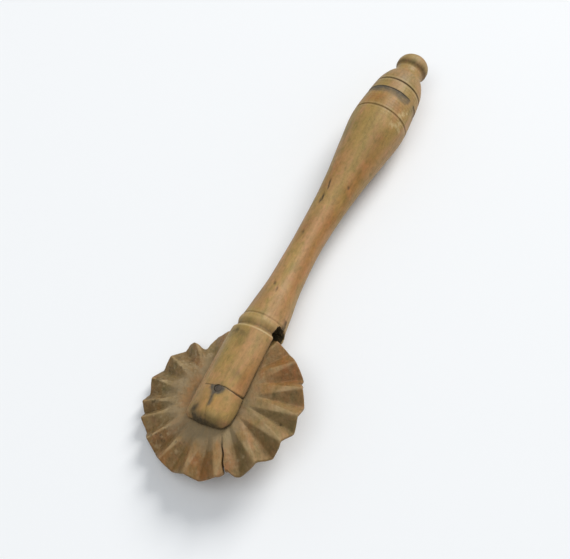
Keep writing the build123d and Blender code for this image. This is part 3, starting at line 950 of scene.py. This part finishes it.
class Tree:
    """A material's nodes. Each method makes one or two, and returns the output that is used."""

    def __init__(self, name):
        self.material = bpy.data.materials.new(name)
        self.material.use_nodes = True
        self.nodes, self.links = self.material.node_tree.nodes, self.material.node_tree.links
        self.shader = self.nodes["Principled BSDF"]

    def feed(self, socket, value):
        if isinstance(value, bpy.types.NodeSocket):
            self.links.new(value, socket)
        else:
            socket.default_value = value

    def node(self, kind, inputs, output=0, **settings):
        made = self.nodes.new(kind)
        for name, value in settings.items():
            setattr(made, name, value)
        for key, value in inputs.items():
            self.feed(made.inputs[key], value)
        return made.outputs[output]

    def attribute(self, name):
        return self.node("ShaderNodeAttribute", {}, "Vector", attribute_name=name)

    def parts(self, name):
        """The three numbers of an attribute."""
        return self.node("ShaderNodeSeparateXYZ", {0: self.attribute(name)}).node.outputs

    def noise(self, vector, scale, detail, roughness, distortion=0.0):
        inputs = {"Vector": vector, "Scale": scale, "Detail": detail, "Roughness": roughness}
        return self.node("ShaderNodeTexNoise", {**inputs, "Distortion": distortion}, "Fac")

    def stretched_noise(self, vector, stretch, shift, *settings):
        inputs = {"Vector": vector, "Scale": stretch, "Location": shift}
        return self.noise(self.node("ShaderNodeMapping", inputs), 1.0, *settings)

    def math(self, operation, a, b, clamp=False):
        return self.node("ShaderNodeMath", {0: a, 1: b}, operation=operation, use_clamp=clamp)

    def rise(self, value, low, high, to_low=0.0, to_high=1.0):
        inputs = {"Value": value, "From Min": low, "From Max": high}
        inputs |= {"To Min": to_low, "To Max": to_high}
        return self.node("ShaderNodeMapRange", inputs, interpolation_type="SMOOTHSTEP")

    def mix(self, share, a, b, blend="MIX"):
        inputs = {0: share, 6: a, 7: b}  # the factor, and the two colours
        return self.node("ShaderNodeMix", inputs, 2, data_type="RGBA", blend_type=blend)

    def finish(self, colour, roughness, height, bump, distance):
        """Feeds the shader with a colour, a roughness and a relief of that height in metres."""
        relief = {"Height": height, "Strength": bump, "Distance": distance}
        normal = self.node("ShaderNodeBump", relief)
        for name, value in (("Base Color", colour), ("Roughness", roughness), ("Normal", normal)):
            self.feed(self.shader.inputs[name], value)
        return self.material


def wood(name, light, warm, dark, grime_and_painted_shade, soot, rubbed, bump, mottling, shine):
    """Old close-grained wood: blotches, streaks along the grain, pores, dirt and painted shade,
    soot, and worn spots and painted light.
    """
    tree = Tree(name)
    grain = tree.attribute("grain")
    blotch = tree.stretched_noise(grain, (0.05, 0.13, 0.13), (0, 0, 0), 4.0, 0.6, 0.6)
    patch = tree.stretched_noise(grain, (0.16, 0.3, 0.3), (31, 7, 3), 5.0, 0.6, 0.4)
    streak = tree.stretched_noise(grain, (0.055, 0.9, 0.9), (3, 11, 5), 6.0, 0.62, 0.3)
    fibre = tree.stretched_noise(grain, (0.35, 5.5, 5.5), (0, 0, 0), 4.0, 0.6)
    mottle = tree.stretched_noise(grain, (0.28, 0.42, 0.42), (17, 2, 8), 5.0, 0.62, 0.5)
    fleck = tree.stretched_noise(grain, (0.6, 1.2, 1.2), (9, 4, 1), 4.0, 0.6)
    pores = tree.stretched_noise(grain, (0.9, 7.0, 7.0), (5, 5, 9), 2.0, 0.5)
    pores = tree.rise(pores, 0.66, 0.74)
    speck = tree.noise(grain, 1.4, 6.0, 0.7)
    colour = tree.mix(tree.rise(blotch, 0.38, 0.62), light, warm)
    for texture, low, high, amount in (
        (streak, 0.45, 0.68, 0.32), (patch, 0.52, 0.72, 0.5), (fibre, 0.4, 0.75, 0.14),
    ):
        colour = tree.mix(tree.rise(texture, low, high, 0.0, amount), colour, dark)
    for share, factor in (
        (tree.rise(mottle, 0.50, 0.66, 0.0, mottling), DARK_MOTTLE),
        (tree.rise(mottle, 0.48, 0.34, 0.0, mottling), PALE_MOTTLE),
        (tree.rise(fleck, 0.50, 0.68, 0.0, 0.8), DARK_FLECK),
        (tree.rise(fleck, 0.50, 0.32, 0.0, 0.8), PALE_FLECK),
        *zip(tree.parts("tint"), (ORANGE, OLIVE, PALE)),
    ):
        colour = tree.mix(share, colour, factor, "MULTIPLY")
    colour = tree.mix(tree.math("MULTIPLY", pores, 0.35), colour, grime_and_painted_shade)
    colour = tree.mix(tree.rise(speck, 0.6, 0.78, 0.0, 0.25), colour, grime_and_painted_shade)
    broken = tree.rise(speck, 0.25, 0.75, 0.75, 1.2)
    # The marks: dirt with painted shade, rubbing with painted light, and soot, broken up by specks.
    dirt_and_painted_shade, worn, sooty = (
        tree.math("MULTIPLY", mark, broken, clamp=True) for mark in tree.parts("marks")
    )
    # The rubbed colour paints rubbing and painted light; the darkest colour, dirt and painted
    # shade.
    for share, over in ((worn, rubbed), (dirt_and_painted_shade, grime_and_painted_shade), (sooty, soot)):
        colour = tree.mix(share, colour, over)
    dull = tree.math("MULTIPLY", tree.math("MAXIMUM", dirt_and_painted_shade, sooty), 0.22)
    roughness = tree.math("ADD", tree.rise(streak, 0.3, 0.75, 0.46, 0.62), dull)
    tree.shader.inputs["Specular IOR Level"].default_value = shine
    height = tree.math("MULTIPLY", streak, 0.5)
    for texture, amount in ((fibre, 0.45), (pores, -0.5), (speck, 0.5)):
        height = tree.math("ADD", height, tree.math("MULTIPLY", texture, amount))
    return tree.finish(colour, roughness, height, bump, 0.00018)


def iron(name):
    """Old iron, nearly black, with brown rust in patches."""
    tree = Tree(name)
    grain = tree.attribute("grain")
    coarse = tree.noise(grain, 1.1, 6.0, 0.65)
    fine = tree.noise(grain, 5.0, 6.0, 0.7)
    rust = tree.rise(tree.math("ADD", coarse, tree.math("MULTIPLY", fine, 0.3)), 0.5, 0.75)
    colour = tree.mix(rust, (0.066, 0.054, 0.042, 1), (0.092, 0.068, 0.045, 1))
    colour = tree.mix(tree.rise(fine, 0.55, 0.7), colour, (0.032, 0.027, 0.023, 1))
    tree.feed(tree.shader.inputs["Metallic"], tree.rise(rust, 0.0, 1.0, 0.5, 0.05))
    return tree.finish(colour, tree.rise(rust, 0.0, 1.0, 0.5, 0.85), fine, 0.6, 0.0001)


handle_wood = wood(
    "handle_wood",
    light=(0.345, 0.222, 0.06, 1),
    warm=(0.395, 0.218, 0.08, 1),
    dark=(0.225, 0.142, 0.037, 1),
    # Colour of dirt and of painted shade.
    grime_and_painted_shade=(0.05, 0.034, 0.012, 1),
    soot=(0.085, 0.068, 0.045, 1),
    # Colour of rubbing and of painted highlights.
    rubbed=(0.52, 0.38, 0.18, 1),
    bump=0.5,
    mottling=0.85,
    shine=0.42,
)
wheel_wood = wood(
    "wheel_wood",
    light=(0.255, 0.166, 0.060, 1),
    warm=(0.30, 0.155, 0.048, 1),
    dark=(0.15, 0.09, 0.03, 1),
    # Colour of dirt and of painted shade.
    grime_and_painted_shade=(0.06, 0.04, 0.015, 1),
    soot=(0.255, 0.188, 0.102, 1),
    # Colour of rubbing and of painted light.
    rubbed=(0.40, 0.29, 0.15, 1),
    bump=1.0,
    mottling=0.9,
    shine=0.32,
)
pin_iron = iron("pin_iron")

for piece, name, node, body, slot, material in (
    (handle, "handle_body", "handle", "handle", "handle_wood", handle_wood),
    (tip, "broken_prong_corner", "prong_tip", "handle", "handle_wood", handle_wood),
    (pin, "forged_axle_pin", "axle_pin", "handle", "pin_iron", pin_iron),
    (wheel, "fluted_wheel", "wheel", "wheel", "wheel_wood", wheel_wood),
):
    piece.name = piece.data.name = name
    piece.data.materials.append(material)
    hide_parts(node)
    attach(piece, body)

# ---- floor, light and camera


def plain_material(name, colour, roughness):
    tree = Tree(name)
    tree.shader.inputs["Base Color"].default_value = colour
    tree.shader.inputs["Roughness"].default_value = roughness
    return tree.material


FAR = 2  # metres from the middle of the floor to each side
floor_mesh = bpy.data.meshes.new("floor")
floor_corners = [(-FAR, -FAR, 0), (FAR, -FAR, 0), (FAR, FAR, 0), (-FAR, FAR, 0)]
floor_mesh.from_pydata(floor_corners, [], [(0, 1, 2, 3)])
floor = new_object("floor", floor_mesh)
floor.data.materials.append(plain_material("pale_floor", (0.86, 0.87, 0.88, 1), 0.85))
floor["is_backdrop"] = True


def area_light(name, place, target, size, watts, colour):
    light = bpy.data.lights.new(name, "AREA")
    light.shape, light.size, light.energy, light.color = "DISK", size, watts, colour
    lamp = new_object(name, light)
    lamp.location = place
    direction = Vector(np.subtract(target, place))
    lamp.rotation_euler = direction.to_track_quat("-Z", "Y").to_euler()


area_light("window", (2.0, -0.42, 1.5), (0, 0, 0), size=1.35, watts=52, colour=(1, 0.99, 0.97))
area_light("sky", (-0.45, 0.1, 1.3), (-0.05, 0, 0), size=1.1, watts=6.5, colour=(0.95, 0.98, 1))
world = bpy.data.worlds.new("studio")
world.use_nodes = True
background = world.node_tree.nodes["Background"].inputs
background["Color"].default_value = (0.93, 0.96, 1.0, 1)
background["Strength"].default_value = 0.365
bpy.context.scene.world = world
bpy.context.scene.view_settings.view_transform = "Standard"

CAMERA_PLACE = (-0.17898, -0.07687, 0.31579)
LOOK_DOWN, HEADING, ROLL = 59.38, 25.34, -0.67  # degrees; heading is from +X towards +Y
SENSOR, LENS = 36, 71.4
camera = new_object("camera", bpy.data.cameras.new("camera"))
camera.data.sensor_width, camera.data.lens = SENSOR, LENS
camera.matrix_world = (
    Matrix.Translation(CAMERA_PLACE)
    @ Matrix.Rotation(math.radians(HEADING - 90), 4, "Z")
    @ Matrix.Rotation(math.radians(90 - LOOK_DOWN), 4, "X")
    @ Matrix.Rotation(math.radians(ROLL), 4, "Z")
)
bpy.context.scene.camera = camera

low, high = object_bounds()
{"cad": [list(cad_low), list(cad_high)], "visual": [list(low), list(high)]}
